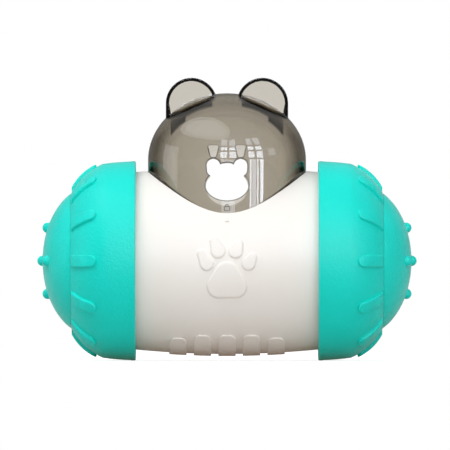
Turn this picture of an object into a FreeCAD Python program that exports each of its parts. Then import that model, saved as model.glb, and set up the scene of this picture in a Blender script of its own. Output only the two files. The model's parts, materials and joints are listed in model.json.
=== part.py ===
"""A rolling treat dispenser for pets: a weighted white barrel that stays upright between two
free-turning wheels, with a smoky see-through bear-shaped hopper twisted into its top.

Everything is drawn about the middle of the wheel axis, with X along that axis, the front towards -Y
and Z up, and then lifted by the wheel's radius, so that the floor is the plane Z = 0. Millimetres.
"""

import FreeCAD, Part
import itertools
import math
import os
import Sketcher
from types import SimpleNamespace

from FreeCAD import Placement, Rotation, Vector

DRIVING_SIZES = {
    # wheels
    "wheel_radius": 44.7,
    "wheel_wall": 2.2,
    "rim_band_width": 2.0,
    "rim_band_step": 0.15,
    "rim_chamfer": 0.4,
    "skirt_length": 14.7,
    "skirt_taper": 1.2,  # how much smaller the skirt is where the shoulder starts
    "skirt_arc_radius": 115.0,
    "shoulder_length": 14.5,
    "shoulder_fall": 13.7,  # how much smaller the shoulder is where the hub cap starts
    "shoulder_arc_radius": 28.5,
    "web_thickness": 2.4,
    "hub_radius": 9.5,
    "spoke_count": 6,
    "spoke_thickness": 1.8,
    "spoke_length": 6.0,
    # tread bars on each wheel's shoulder
    "tread_count": 12,
    "tread_width": 5.2,
    "tread_nose": 0.2,  # what stays flat of a bar's rounded end
    "tread_end_height": 1.15,
    "tread_arc_radius": 23.5,
    "tread_inner_gap": 2.9,  # from the start of the shoulder
    "tread_outer_gap": 0.5,  # from the end of the shoulder
    "tread_edge_radius": 0.5,
    # domed hub caps with their nubs
    "cap_overhang": 0.3,  # beyond the end of the shoulder
    "cap_bulge": 12.6,
    "cap_setback": 10.0,  # the widest plane of the cap's ellipsoid lies this far inside its seat
    "cap_wall": 1.8,
    "cap_plug_length": 3.2,
    "cap_plug_wall": 1.8,
    "cap_land": 1.8,  # width of the ring face that the cap sits on
    "cap_clearance": 0.12,
    "nub_radius": 2.35,
    "nub_ring_radius": 14.8,
    "nub_count": 4,
    # end plates with stub axles, washers and axle screws
    "end_plate_thickness": 2.4,
    "end_plate_clearance": 0.15,
    "axle_radius": 6.0,
    "axle_clearance": 0.08,
    "thrust_radius": 9.0,
    "thrust_height": 2.7,
    "end_play": 0.25,
    "washer_radius": 9.0,
    "washer_thickness": 1.0,
    # barrel
    "barrel_gap": 3.3,  # between its ends and the insides of the wheels
    "barrel_crown": 2.6,  # how much larger it is in its middle
    "barrel_overlap": 5.6,  # how far each end reaches into its wheel
    "barrel_wall": 2.5,
    "boss_radius": 3.0,
    "boss_length": 6.5,
    "boss_inset": 6.7,  # from the barrel's end to the middles of the plate screws
    "boss_count": 3,
    "boss_web": 2.4,
    # grip ribs under the barrel
    "grip_count": 5,
    "grip_pitch": 11.0,
    "grip_width": 7.8,
    "grip_height": 0.9,
    "grip_top_share": 0.78947,  # how far their tops lie below the axis, as a share of the barrel's radius
    "grip_side_drop": 1.2,  # the outermost ribs start this much lower
    "grip_corner_radius": 2.6,
    "grip_edge_radius": 0.4,
    # paw print on the front
    "paw_height": 0.55,
    "paw_edge_radius": 0.35,
    "palm_width": 17.6,
    "palm_top": -0.2,
    "palm_bottom": -16.4,
    "palm_lobe_radius": 5.0,
    "palm_crown_radius": 5.4,
    "toe_foot_radius": 3.1,
    "toe_tip_radius": 2.1,
    # each toe, from the left: where the middle of its foot lies, how far its tip is and how it leans
    "toe_1_across": -9.0,
    "toe_1_level": -1.1,
    "toe_1_reach": 4.8,
    "toe_1_lean": 27.0,
    "toe_2_across": -4.0,
    "toe_2_level": 4.4,
    "toe_2_reach": 4.7,
    "toe_2_lean": 20.0,
    "toe_3_across": 3.8,
    "toe_3_level": 4.4,
    "toe_3_reach": 3.3,
    "toe_3_lean": -22.0,
    "toe_4_across": 9.6,
    "toe_4_level": -1.0,
    "toe_4_reach": 3.0,
    "toe_4_lean": -30.0,
    # hopper dome
    "dome_inset": 6.4,  # from the barrel's surface to the dome's side
    "dome_side_height": 36.2,  # above the ledge that the dome stands on
    "dome_rise": 29.9,
    "dome_wall": 2.0,
    "dome_clearance": 0.55,
    "rim_gap": 5.5,  # from the dome's side to each wheel's rim
    "collar_wall": 1.8,
    "ledge_depth": 32.8,  # below the top of the barrel
    "ledge_width": 2.5,
    "ledge_thickness": 1.8,
    # twist lock between dome and collar
    "lug_count": 3,
    "lug_angle": 8.0,
    "lug_height": 2.0,
    "lug_rise": 3.0,  # above the ledge
    "lug_depth": 1.4,  # into the dome's wall
    "lock_turn": 25.0,
    "lock_play": 0.35,
    "lock_play_angle": 0.7,
    # treat tray
    "tray_flange_thickness": 1.6,
    "tray_wall": 1.8,
    "tray_depth": 11.0,
    "tray_clearance": 0.3,
    # bear-head outlets, front and back
    "jaw_width": 19.2,
    "jaw_height": 13.8,
    "jaw_drop": 11.3,  # below the top of the dome's straight side
    "crown_radius": 7.7,
    "crown_rise": 2.3,  # above the middle of the jaw
    "outlet_ear_radius": 3.05,
    "outlet_ear_rise": 8.8,
    "outlet_ear_offset": 6.1,
    "back_chin_drop": 2.1,
    # small vents above the front outlet's ears
    "vent_gap": 0.6,
    "vent_height": 5.2,
    "vent_foot_width": 2.6,
    "vent_foot_rise": 0.6,
    "vent_top_width": 4.7,
    "vent_top_rise": 0.15,
    "vent_corner_radius": 0.65,
    "vent_side_dip": 0.27,
    # plug-in ears
    "ear_radius": 11.5,
    "ear_offset": 15.9,
    "ear_sink": 4.6,  # from the top of the dome down to the middle of the ear
    "ear_depth": 10.0,
    "ear_rim": 1.45,
    "ear_web": 2.2,
    "ear_edge_radius": 0.35,
    "tongue_inset": 0.7,  # from the ear's front and back
    "tongue_setback": 2.2,  # from the ear's inner side
    "tongue_width": 16.0,
    "tongue_reach": 2.8,
    "hook_overlap": 4.1,
    "hook_length": 2.5,  # beyond the tongue
    "hook_reach": 4.5,
    "slot_clearance": 0.12,
    # steel counterweight, its cradle and cover
    "weight_length": 52.0,
    "weight_width": 26.0,
    "weight_height": 10.0,
    "weight_gap": 0.8,  # from its lower corners to the barrel's wall
    "weight_chamfer": 1.0,
    "weight_clearance": 0.2,
    "cradle_wall": 1.6,
    "cradle_rib_count": 3,
    "post_gap": 0.5,  # between the cradle and the posts for the cover's screws
    "cover_thickness": 2.0,
    "cover_margin": 4.0,  # beyond the middles of its screws
    "cover_screw_pitch": 18.0,
    # screws
    "screw_radius": 1.25,
    "screw_length": 8.0,
    "screw_head_radius": 2.6,
    "screw_head_height": 1.6,
    "screw_slot_width": 0.7,
    "screw_slot_depth": 0.8,
    "screw_tip": 1.0,
    "pilot_clearance": 0.05,
    "pilot_spare": 0.4,  # how far a pilot hole goes on past the screw
    "hole_clearance": 0.3,
}
TOES = 4

doc = FreeCAD.newDocument("treat_dispenser")
sheet = doc.addObject("Spreadsheet::Sheet", "sizes")
for row, (alias, value) in enumerate(DRIVING_SIZES.items(), start=1):
    sheet.set(f"A{row}", alias.replace("_", " "))
    sheet.set(f"B{row}", str(value))
    sheet.setAlias(f"B{row}", alias)
derived = doc.addObject("Spreadsheet::Sheet", "derived")
derived_rows = itertools.count(1)
doc.recompute()


class Size:
    """A number that remembers the formula tying it to the sheet."""

    def __init__(self, value, formula):
        self.value = value
        self.formula = formula

    def __add__(self, other):
        other = as_size(other)
        return Size(self.value + other.value, f"({self.formula} + {other.formula})")

    def __sub__(self, other):
        other = as_size(other)
        return Size(self.value - other.value, f"({self.formula} - {other.formula})")

    def __mul__(self, other):
        other = as_size(other)
        return Size(self.value * other.value, f"({self.formula} * {other.formula})")

    def __truediv__(self, other):
        other = as_size(other)
        return Size(self.value / other.value, f"({self.formula} / {other.formula})")

    def __neg__(self):
        return self * -1

    def __rsub__(self, other):
        return as_size(other) - self

    __radd__ = __add__
    __rmul__ = __mul__


def as_size(number):
    return number if isinstance(number, Size) else Size(float(number), f"({float(number)})")


def root(number):
    return Size(math.sqrt(number.value), f"sqrt({number.formula})")


def arc_radius(half_chord, rise):
    """The radius of an arc over a chord, from how far its middle rises above it."""
    return (half_chord * half_chord + rise * rise) / (rise * 2)


def named(alias, value):
    """Keeps a size that follows from others in the second sheet, under a name of its own."""
    row = next(derived_rows)
    derived.set(f"A{row}", alias.replace("_", " "))
    derived.set(f"B{row}", f"={value.formula}")
    derived.setAlias(f"B{row}", alias)
    return Size(value.value, f"derived.{alias}")


size = SimpleNamespace(**{alias: Size(sheet.get(alias), f"sizes.{alias}") for alias in DRIVING_SIZES})

ALONG_X = Rotation(Vector(0, 1, 0), 90)
ALONG_Y = Rotation(Vector(1, 0, 0), 90)
ALONG_Z = Rotation()
FACING_FRONT = Rotation(Vector(1, 0, 0), 90)
OUTWARDS = {"right": (1, ALONG_X), "left": (-1, Rotation(Vector(0, 1, 0), -90))}
SAME_PLACE = 0.02  # how near counts as the same place when edges are picked
PIECES = []


# Placing and making simple solids

def bind(thing, **values):
    for name, value in values.items():
        if isinstance(value, Size):
            thing.setExpression(name, value.formula)
        else:
            setattr(thing, name, value)
    return thing


def place(thing, middle, turn=ALONG_Z):
    thing.Placement = Placement(Vector(*(as_size(part).value for part in middle)), turn)
    for letter, part in zip("xyz", middle):
        if isinstance(part, Size):
            thing.setExpression(f"Placement.Base.{letter}", part.formula)
    return thing


def cylinder(name, radius, height, start=(0, 0, 0), turn=ALONG_Z, sector=360):
    solid = bind(doc.addObject("Part::Cylinder", name), Radius=radius, Height=height, Angle=sector)
    return place(solid, start, turn)


def box(name, length, width, height, middle):
    """A box given by the middle of its underside."""
    solid = bind(doc.addObject("Part::Box", name), Length=length, Width=width, Height=height)
    across, depth, level = middle
    return place(solid, (across - length / 2, depth - width / 2, level))


def ellipsoid(name, half_height, radius, middle, turn=ALONG_Z):
    solid = bind(doc.addObject("Part::Ellipsoid", name),
                 Radius1=half_height, Radius2=radius, Radius3=radius)
    return place(solid, middle, turn)


def fuse(name, shapes):
    joined = doc.addObject("Part::MultiFuse", name)
    joined.Shapes = list(shapes)
    return joined


def cut(name, base, *tools):
    result = doc.addObject("Part::Cut", name)
    result.Base = base
    result.Tool = tools[0] if len(tools) == 1 else fuse(f"{name}_tools", tools)
    return result


def common(name, first, second):
    result = doc.addObject("Part::MultiCommon", name)
    result.Shapes = [first, second]
    return result


def mirrored(name, source):
    """The same piece on the other side of the plane X = 0."""
    result = doc.addObject("Part::Mirroring", name)
    result.Source = source
    result.Normal = Vector(1, 0, 0)
    return result


def turned_copies(source, count, axis):
    """The source and its copies, spread evenly round an axis through the origin."""
    copies = [source]
    for index in range(1, count):
        copy = doc.addObject("App::Link", f"{source.Name}_{index + 1}")
        copy.LinkedObject = source
        copy.LinkTransform = True
        copy.Placement = Placement(Vector(), Rotation(axis, 360 * index / count))
        copies.append(copy)
    return copies


def rounded(name, base, radius, chosen):
    """Fillets the edges that the test picks out."""
    doc.recompute()
    result = doc.addObject("Part::Fillet", name)
    result.Base = base
    numbers = [index for index, edge in enumerate(base.Shape.Edges, start=1) if chosen(edge)]
    result.Edges = [(index, radius.value, radius.value) for index in numbers]
    return result


def piece(label, solid):
    """Keeps a finished solid as one of the toy's pieces, lifted so that the wheels stand on Z = 0."""
    solid.Label = label
    solid.setExpression("Placement.Base.z", f"{solid_lift(solid)}{size.wheel_radius.formula}")
    PIECES.append(solid)
    return solid


def solid_lift(solid):
    """The height formula that a piece already has, ready for the wheel's radius to be added."""
    for name, formula in solid.ExpressionEngine:
        if name.lstrip(".") == "Placement.Base.z":
            return f"{formula} + "
    return ""


# Drawing outlines

def arc_between(start, end, radius):
    """An arc that bulges to the right of the way from start to end, or to the left below zero."""
    way = end - start
    left = Vector(-way.y, way.x, 0).normalize()
    reach = math.sqrt(radius * radius - way.Length ** 2 / 4)
    centre = (start + end) / 2 + left * math.copysign(reach, radius)
    if radius < 0:
        start, end = end, start
    angles = [math.atan2(point.y - centre.y, point.x - centre.x) for point in (start, end)]
    return Part.ArcOfCircle(Part.Circle(centre, Vector(0, 0, 1), abs(radius)), *angles)


def draw(sketch, corners):
    """A closed outline through corners (across, up), held in place by its constraints. A third value
    makes the edge that leaves the corner an arc of that radius."""
    points = [Vector(as_size(corner[0]).value, as_size(corner[1]).value, 0) for corner in corners]
    first = sketch.GeometryCount
    ends = []
    for index, corner in enumerate(corners):
        start, end = points[index], points[(index + 1) % len(points)]
        if len(corner) == 2:
            sketch.addGeometry(Part.LineSegment(start, end))
            ends.append((1, 2))
            continue
        radius = as_size(corner[2])
        edge = sketch.addGeometry(arc_between(start, end, radius.value))
        held = sketch.addConstraint(Sketcher.Constraint("Radius", edge, abs(radius.value)))
        sketch.setExpression(f"Constraints[{held}]", f"abs({radius.formula})")
        ends.append((1, 2) if radius.value > 0 else (2, 1))
    for index, corner in enumerate(corners):
        follower = (index + 1) % len(corners)
        sketch.addConstraint(Sketcher.Constraint(
            "Coincident", first + index, ends[index][1], first + follower, ends[follower][0]))
        for kind, part in zip(("DistanceX", "DistanceY"), corner):
            part = as_size(part)
            held = sketch.addConstraint(Sketcher.Constraint(
                kind, -1, 1, first + index, ends[index][0], part.value))
            sketch.setExpression(f"Constraints[{held}]", part.formula)
    return sketch


def body_sketch(body, role, corners):
    plane = next(item for item in body.Origin.OriginFeatures if item.Role == role)
    sketch = body.newObject("Sketcher::SketchObject", f"{body.Name}_outline")
    sketch.AttachmentSupport = [(plane, "")]
    sketch.MapMode = "FlatFace"
    return draw(sketch, corners)


def turned_body(name, axis, corners):
    """A body turned from a half section on the XZ plane, about X or about Z."""
    body = doc.addObject("PartDesign::Body", name)
    sketch = body_sketch(body, "XZ_Plane", corners)
    turning = body.newObject("PartDesign::Revolution", f"{name}_turning")
    turning.Profile = sketch
    turning.ReferenceAxis = (sketch, ["H_Axis" if axis == "X" else "V_Axis"])
    turning.Angle = 360
    return body


def front_prism(name, corners, near, far):
    """A solid drawn in the front view, reaching from the depth near to the depth far."""
    sketch = doc.addObject("Sketcher::SketchObject", f"{name}_outline")
    sketch.Placement = Placement(Vector(), FACING_FRONT)
    draw(sketch, corners)
    prism = doc.addObject("Part::Extrusion", name)
    prism.Base = sketch
    prism.DirMode = "Normal"
    prism.Solid = True
    return bind(prism, LengthFwd=-near, LengthRev=as_size(far))


# Sizes that follow from the driving ones: first those across the wheel axis

shoulder_radius = named("shoulder_radius", size.wheel_radius - size.skirt_taper)
shoulder_end_radius = named("shoulder_end_radius", shoulder_radius - size.shoulder_fall)
cap_radius = named("cap_radius", shoulder_end_radius + size.cap_overhang)
barrel_end_radius = named("barrel_end_radius", size.wheel_radius - size.wheel_wall - size.barrel_gap)
barrel_radius = named("barrel_radius", barrel_end_radius + size.barrel_crown)
boss_circle_radius = named("boss_circle_radius", barrel_end_radius - size.boss_inset)
dome_radius = named("dome_radius", barrel_radius - size.dome_inset)

# Places along the wheel axis

rim_x = named("rim_x", dome_radius + size.rim_gap)
barrel_end_x = named("barrel_end_x", rim_x + size.barrel_overlap)
plate_inner_x = named("plate_inner_x", barrel_end_x - size.end_plate_thickness)
thrust_x = named("thrust_x", barrel_end_x + size.thrust_height)
shoulder_x = named("shoulder_x", rim_x + size.skirt_length)
seat_x = named("seat_x", shoulder_x + size.shoulder_length)
web_outer_x = named("web_outer_x", seat_x - size.cap_plug_length - size.end_play)
web_inner_x = named("web_inner_x", web_outer_x - size.web_thickness)
axle_end_x = named("axle_end_x", web_outer_x + size.end_play)

# The arcs of the wheel's shoulder and of the barrel's crown, each with its middle

chord = named("chord", root(size.shoulder_length * size.shoulder_length
                            + size.shoulder_fall * size.shoulder_fall))
chord_reach = named("chord_reach",
                    root(size.shoulder_arc_radius * size.shoulder_arc_radius - chord * chord / 4))
curve_x = named("curve_x",
                shoulder_x + size.shoulder_length / 2 - chord_reach * size.shoulder_fall / chord)
curve_radius = named("curve_radius",
                     shoulder_radius - size.shoulder_fall / 2 - chord_reach * size.shoulder_length / chord)
barrel_arc = named("barrel_arc", arc_radius(barrel_end_x, size.barrel_crown))
weight_end_x = size.weight_length / 2
barrel_at_weight = named("barrel_at_weight", barrel_radius - barrel_arc
                         + root(barrel_arc * barrel_arc - weight_end_x * weight_end_x))
weight_corner = barrel_at_weight - size.barrel_wall - size.weight_gap

# Heights above or below the wheel axis

ledge_level = named("ledge_level", barrel_radius - size.ledge_depth)
lug_level = named("lug_level", ledge_level + size.lug_rise)
dome_shoulder = named("dome_shoulder", ledge_level + size.dome_side_height)
jaw_level = named("jaw_level", dome_shoulder - size.jaw_drop)
crown_level = named("crown_level", jaw_level + size.crown_rise)
outlet_ear_level = named("outlet_ear_level", jaw_level + size.outlet_ear_rise)
ear_level = named("ear_level", dome_shoulder + size.dome_rise - size.ear_sink)
grip_level = named("grip_level", barrel_radius * -size.grip_top_share)
weight_level = named("weight_level",
                     -root(weight_corner * weight_corner - size.weight_width * size.weight_width / 4))
cover_level = named("cover_level", weight_level + size.weight_height + size.weight_clearance)

# Places of the ears' tongues and hooks across the toy

tongue_start = named("tongue_start", size.ear_offset - size.ear_radius + size.tongue_setback)
tongue_end = named("tongue_end", tongue_start + size.tongue_width)
hook_start = named("hook_start", tongue_end - size.hook_overlap)
hook_end = named("hook_end", tongue_end + size.hook_length)
doc.recompute()


def shoulder_at(across, depth=0):
    """The radius at which the wheel's shoulder curve, or one so far inside it, crosses a plane."""
    arc = size.shoulder_arc_radius - depth
    return curve_radius + root(arc * arc - (across - curve_x) * (across - curve_x))


# Wheels

def wheel_shell():
    opening = shoulder_end_radius - size.cap_land
    bore = size.axle_radius + size.axle_clearance
    hub_x = thrust_x + size.end_play
    wall = size.wheel_wall
    inner_start_x = shoulder_x - wall * (shoulder_x - curve_x) / size.shoulder_arc_radius
    inner_start = shoulder_radius - wall * (shoulder_radius - curve_radius) / size.shoulder_arc_radius
    band_radius = size.wheel_radius - size.rim_band_step
    return turned_body("wheel_shell", "X", [
        (rim_x, size.wheel_radius - wall),
        (inner_start_x, inner_start, -(size.shoulder_arc_radius - wall)),
        (web_inner_x, shoulder_at(web_inner_x, wall)),
        (web_inner_x, size.hub_radius),
        (hub_x, size.hub_radius),
        (hub_x, bore),
        (web_outer_x, bore),
        (web_outer_x, opening),
        (seat_x, opening),
        (seat_x, shoulder_end_radius, size.shoulder_arc_radius),
        (shoulder_x, shoulder_radius, size.skirt_arc_radius),
        (rim_x + size.rim_band_width, band_radius),
        (rim_x + size.rim_band_width, size.wheel_radius),
        (rim_x + size.rim_chamfer, size.wheel_radius),
        (rim_x, size.wheel_radius - size.rim_chamfer),
    ])


def tread_bars():
    """Bars that stand on the shoulder, each sunk to the middle of its wall, with a rounded inner end."""
    inner_x = shoulder_x + size.tread_inner_gap
    outer_x = seat_x - size.tread_outer_gap
    sunk = size.wheel_wall / 2
    bar = front_prism("tread_bar", [
        (inner_x, shoulder_at(inner_x, sunk), -(size.shoulder_arc_radius - sunk)),
        (outer_x, shoulder_at(outer_x, sunk)),
        (outer_x, shoulder_at(outer_x, -size.tread_end_height), size.tread_arc_radius),
        (inner_x, shoulder_at(inner_x, -size.tread_end_height)),
    ], -size.tread_width / 2, size.tread_width / 2)
    upright = (size.tread_width - size.tread_nose) / 2
    ended = rounded("tread_bar_ended", bar, upright, lambda edge: is_upright_at(edge, inner_x.value))
    softened = rounded("tread_bar_softened", ended, size.tread_edge_radius,
                       lambda edge: lies_above_shoulder(edge, size.tread_end_height.value / 2))
    return turned_copies(softened, int(size.tread_count.value), Vector(1, 0, 0))


def is_upright_at(edge, across):
    at_place = all(abs(vertex.X - across) < SAME_PLACE for vertex in edge.Vertexes)
    return at_place and edge.BoundBox.YLength < SAME_PLACE


def lies_above_shoulder(edge, height):
    """Whether an edge of the top bar runs at more than the height above the wheel's shoulder."""
    middle = edge.valueAt((edge.FirstParameter + edge.LastParameter) / 2)
    rise = math.hypot(middle.x - curve_x.value, middle.z - curve_radius.value)
    return rise > size.shoulder_arc_radius.value + height


def spokes():
    """Low ribs behind the web, from the hub to the inside of the shoulder."""
    sunk = size.wheel_wall / 2
    start_x = web_inner_x - size.spoke_length
    end_x = web_inner_x + size.web_thickness / 2
    spoke = front_prism("spoke", [
        (start_x, size.hub_radius - sunk),
        (end_x, size.hub_radius - sunk),
        (end_x, shoulder_at(end_x, sunk), size.shoulder_arc_radius - sunk),
        (start_x, shoulder_at(start_x, sunk)),
    ], -size.spoke_thickness / 2, size.spoke_thickness / 2)
    return turned_copies(spoke, int(size.spoke_count.value), Vector(1, 0, 0))


def wheels():
    wheel = fuse("wheel", [wheel_shell(), *tread_bars(), *spokes()])
    piece("right_wheel", wheel)
    PIECES.append(mirrored("left_wheel", wheel))


def spots_round(count, radius):
    """Places spread evenly round the wheel axis, the first one straight above it."""
    turns = [Rotation(Vector(1, 0, 0), 360 * index / count.value) for index in range(int(count.value))]
    upwards = [turn.multVec(Vector(0, 0, 1)) for turn in turns]
    return [(radius * way.y, radius * way.z) for way in upwards]


def nub(name, spot):
    """A ball sunk to its middle in the cap, with its poles along the axle."""
    ball = bind(doc.addObject("Part::Sphere", name), Radius=size.nub_radius)
    return place(ball, spot, ALONG_X)


def hub_caps():
    """A domed cap that plugs into the wheel's opening, with one nub on its tip and a ring of others."""
    middle_x = seat_x - size.cap_setback
    half_length = size.cap_bulge + size.cap_setback
    spread = half_length / root(half_length * half_length - size.cap_setback * size.cap_setback)
    radius = cap_radius * spread
    outside = ellipsoid("cap_outside", half_length, radius, (middle_x, 0, 0), ALONG_X)
    inside = ellipsoid("cap_inside", half_length - size.cap_wall, radius - size.cap_wall,
                       (middle_x, 0, 0), ALONG_X)
    reach = size.cap_bulge + size.nub_radius * 2
    half_space = box("cap_half_space", reach, radius * 2, radius * 2, (seat_x + reach / 2, 0, -radius))
    ring = size.nub_ring_radius / radius
    ring_x = middle_x + half_length * root(1 - ring * ring)
    nubs = [nub("nub_tip", (seat_x + size.cap_bulge, 0, 0))]
    for index, spot in enumerate(spots_round(size.nub_count, size.nub_ring_radius)):
        nubs.append(nub(f"nub_{index + 1}", (ring_x, *spot)))
    dome = common("cap_dome", fuse("cap_with_nubs", [outside, *nubs]), half_space)
    plug_radius = shoulder_end_radius - size.cap_land - size.cap_clearance
    plug_x = seat_x - size.cap_plug_length
    plug_length = size.cap_plug_length + size.cap_wall
    plug = cut("cap_plug",
               cylinder("cap_plug_outside", plug_radius, plug_length, (plug_x, 0, 0), ALONG_X),
               cylinder("cap_plug_inside", plug_radius - size.cap_plug_wall, plug_length,
                        (plug_x, 0, 0), ALONG_X))
    cap = fuse("hub_cap", [cut("cap_shell", dome, inside), plug])
    piece("right_hub_cap", cap)
    PIECES.append(mirrored("left_hub_cap", cap))


# Axles and screws

def end_plates():
    """A plate that closes the barrel's end, with its stub axle and its screw holes."""
    plate_radius = barrel_end_radius - size.barrel_wall - size.end_plate_clearance
    pilot = size.screw_radius + size.pilot_clearance
    pilot_x = axle_end_x - size.screw_length - size.screw_tip
    blank = turned_body("end_plate_blank", "X", [
        (plate_inner_x, 0),
        (pilot_x, 0),
        (pilot_x, pilot),
        (axle_end_x, pilot),
        (axle_end_x, size.axle_radius),
        (thrust_x, size.axle_radius),
        (thrust_x, size.thrust_radius),
        (barrel_end_x, size.thrust_radius),
        (barrel_end_x, plate_radius),
        (plate_inner_x, plate_radius),
    ])
    holes = [cylinder(f"plate_hole_{index + 1}", size.screw_radius + size.hole_clearance,
                      size.end_plate_thickness * 2, (plate_inner_x - size.end_plate_thickness / 2, *spot),
                      ALONG_X)
             for index, spot in enumerate(spots_round(size.boss_count, boss_circle_radius))]
    plate = cut("end_plate", blank, *holes)
    piece("right_end_plate", plate)
    PIECES.append(mirrored("left_end_plate", plate))


def washers():
    bore = size.screw_radius + size.hole_clearance
    washer = turned_body("washer", "X", [
        (axle_end_x, bore),
        (axle_end_x + size.washer_thickness, bore),
        (axle_end_x + size.washer_thickness, size.washer_radius),
        (axle_end_x, size.washer_radius),
    ])
    piece("right_washer", washer)
    PIECES.append(mirrored("left_washer", washer))


def screw(label, seat, turn=ALONG_Z):
    """A slotted screw whose head stands on the seat; its shank points down before it is turned."""
    body = turned_body(f"{label}_body", "Z", [
        (0, -size.screw_length),
        (size.screw_radius, size.screw_tip - size.screw_length),
        (size.screw_radius, 0),
        (size.screw_head_radius, 0),
        (size.screw_head_radius, size.screw_head_height),
        (0, size.screw_head_height),
    ])
    half_slot = size.screw_slot_width / 2
    slot_floor = size.screw_head_height - size.screw_slot_depth
    slot = body.newObject("PartDesign::Pocket", f"{label}_slot")
    slot.Profile = body_sketch(body, "XZ_Plane", [
        (-half_slot, slot_floor),
        (half_slot, slot_floor),
        (half_slot, size.screw_head_height + half_slot),
        (-half_slot, size.screw_head_height + half_slot),
    ])
    slot.Midplane = True
    bind(slot, Length=size.screw_head_radius * 3)
    place(body, seat, turn)
    return piece(label, body)


def axle_and_plate_screws():
    for side, (sign, turn) in OUTWARDS.items():
        screw(f"{side}_axle_screw", ((axle_end_x + size.washer_thickness) * sign, 0, as_size(0)), turn)
        for index, spot in enumerate(spots_round(size.boss_count, boss_circle_radius)):
            screw(f"{side}_plate_screw_{index + 1}", (barrel_end_x * sign, *spot), turn)


# Barrel

def barrel_form(name, offset):
    """The solid inside the barrel's crowned surface, or inside one that is offset from it."""
    edge = barrel_end_radius + offset
    return turned_body(name, "X", [
        (-barrel_end_x, 0),
        (barrel_end_x, 0),
        (barrel_end_x, edge, barrel_arc),
        (-barrel_end_x, edge),
    ])


def barrel_shell():
    edge = barrel_end_radius
    inner_edge = edge - size.barrel_wall
    return turned_body("barrel_shell", "X", [
        (-barrel_end_x, inner_edge, -barrel_arc),
        (barrel_end_x, inner_edge),
        (barrel_end_x, edge, barrel_arc),
        (-barrel_end_x, edge),
    ])


def grips():
    """Ribs with rounded tops that wrap under the barrel from front to back."""
    count = int(size.grip_count.value)
    blanks = []
    half = size.grip_width / 2
    corner = size.grip_corner_radius
    for index in range(count):
        step = index - (count - 1) / 2
        middle = size.grip_pitch * step
        outermost = index in (0, count - 1)
        top = grip_level - (size.grip_side_drop if outermost else 0)
        bottom = -barrel_radius - size.grip_height * 2
        blanks.append(front_prism(f"grip_blank_{index + 1}", [
            (middle - half, bottom),
            (middle + half, bottom),
            (middle + half, top - corner, corner),
            (middle + half - corner, top),
            (middle - half + corner, top, corner),
            (middle - half, top - corner),
        ], -barrel_radius, barrel_radius))
    raised = common("grips_raised", fuse("grip_blanks", blanks), barrel_form("grip_form", size.grip_height))
    trimmed = cut("grips_trimmed", raised, barrel_form("grip_seat", -size.barrel_wall / 2))
    outer = barrel_radius.value - 2 * size.grip_height.value
    return rounded("grips", trimmed, size.grip_edge_radius,
                   lambda edge: min(radius_of(vertex) for vertex in edge.Vertexes) > outer
                   and on_form(edge, size.grip_height.value))


def radius_of(vertex):
    return math.hypot(vertex.Y, vertex.Z)


def on_form(edge, offset):
    """Whether the edge lies on the barrel's crowned surface with the offset."""
    arc = barrel_arc.value
    centre = barrel_radius.value - arc + offset
    for part in (0.0, 0.5, 1.0):
        spot = edge.valueAt(edge.FirstParameter + part * (edge.LastParameter - edge.FirstParameter))
        if abs(math.hypot(math.hypot(spot.y, spot.z) - centre, spot.x) - arc) > SAME_PLACE:
            return False
    return True


def tangent_side(foot, tip, fall, step):
    """Where a line touches two circles on their right, as the way out from the middle of each. The foot
    circle lies so far below the tip circle and so far to its right."""
    span = root(step * step + fall * fall)
    lean = (foot - tip) / span
    square = root(1 - lean * lean)
    return step / span * lean + fall / span * square, fall / span * -lean + step / span * square


def palm_outline():
    """Two lobes and a smaller crown above them, joined by their tangents."""
    lobe = size.palm_lobe_radius
    crown = size.palm_crown_radius
    lobe_x = size.palm_width / 2 - lobe
    lobe_z = size.palm_bottom + lobe
    crown_z = size.palm_top - crown
    across, up = tangent_side(lobe, crown, crown_z - lobe_z, lobe_x)
    return [
        (-lobe_x, size.palm_bottom),
        (lobe_x, size.palm_bottom, lobe),
        (lobe_x + lobe * across, lobe_z + lobe * up),
        (crown * across, crown_z + crown * up, crown),
        (-crown * across, crown_z + crown * up),
        (-lobe_x - lobe * across, lobe_z + lobe * up, lobe),
    ]


def toe_blank(index, reach):
    """A toe shaped like an egg, its narrow end up, that leans about the middle of its foot."""
    across, level, rise, lean = (getattr(size, f"toe_{index}_{name}")
                                 for name in ("across", "level", "reach", "lean"))
    foot = size.toe_foot_radius
    tip = size.toe_tip_radius
    aside, up = tangent_side(foot, tip, rise, as_size(0))
    toe = front_prism(f"toe_{index}", [
        (-foot * aside, foot * up, foot),
        (foot * aside, foot * up),
        (tip * aside, rise + tip * up, tip),
        (-tip * aside, rise + tip * up),
    ], -reach, 0)
    toe.Base.Placement = Placement(Vector(), FACING_FRONT * Rotation(Vector(0, 0, 1), lean.value))
    toe.Base.setExpression("Placement.Base.x", across.formula)
    toe.Base.setExpression("Placement.Base.z", level.formula)
    return toe


def paw_print():
    """A raised paw: one broad palm pad below four toes."""
    reach = barrel_radius + size.paw_height * 2
    blanks = [front_prism("palm_blank", palm_outline(), -reach, 0)]
    blanks.extend(toe_blank(index, reach) for index in range(1, TOES + 1))
    raised = common("paw_raised", fuse("paw_blanks", blanks), barrel_form("paw_form", size.paw_height))
    trimmed = cut("paw_trimmed", raised, barrel_form("paw_seat", -size.barrel_wall / 2))
    return rounded("paw", trimmed, size.paw_edge_radius, lambda edge: on_form(edge, size.paw_height.value))


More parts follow.
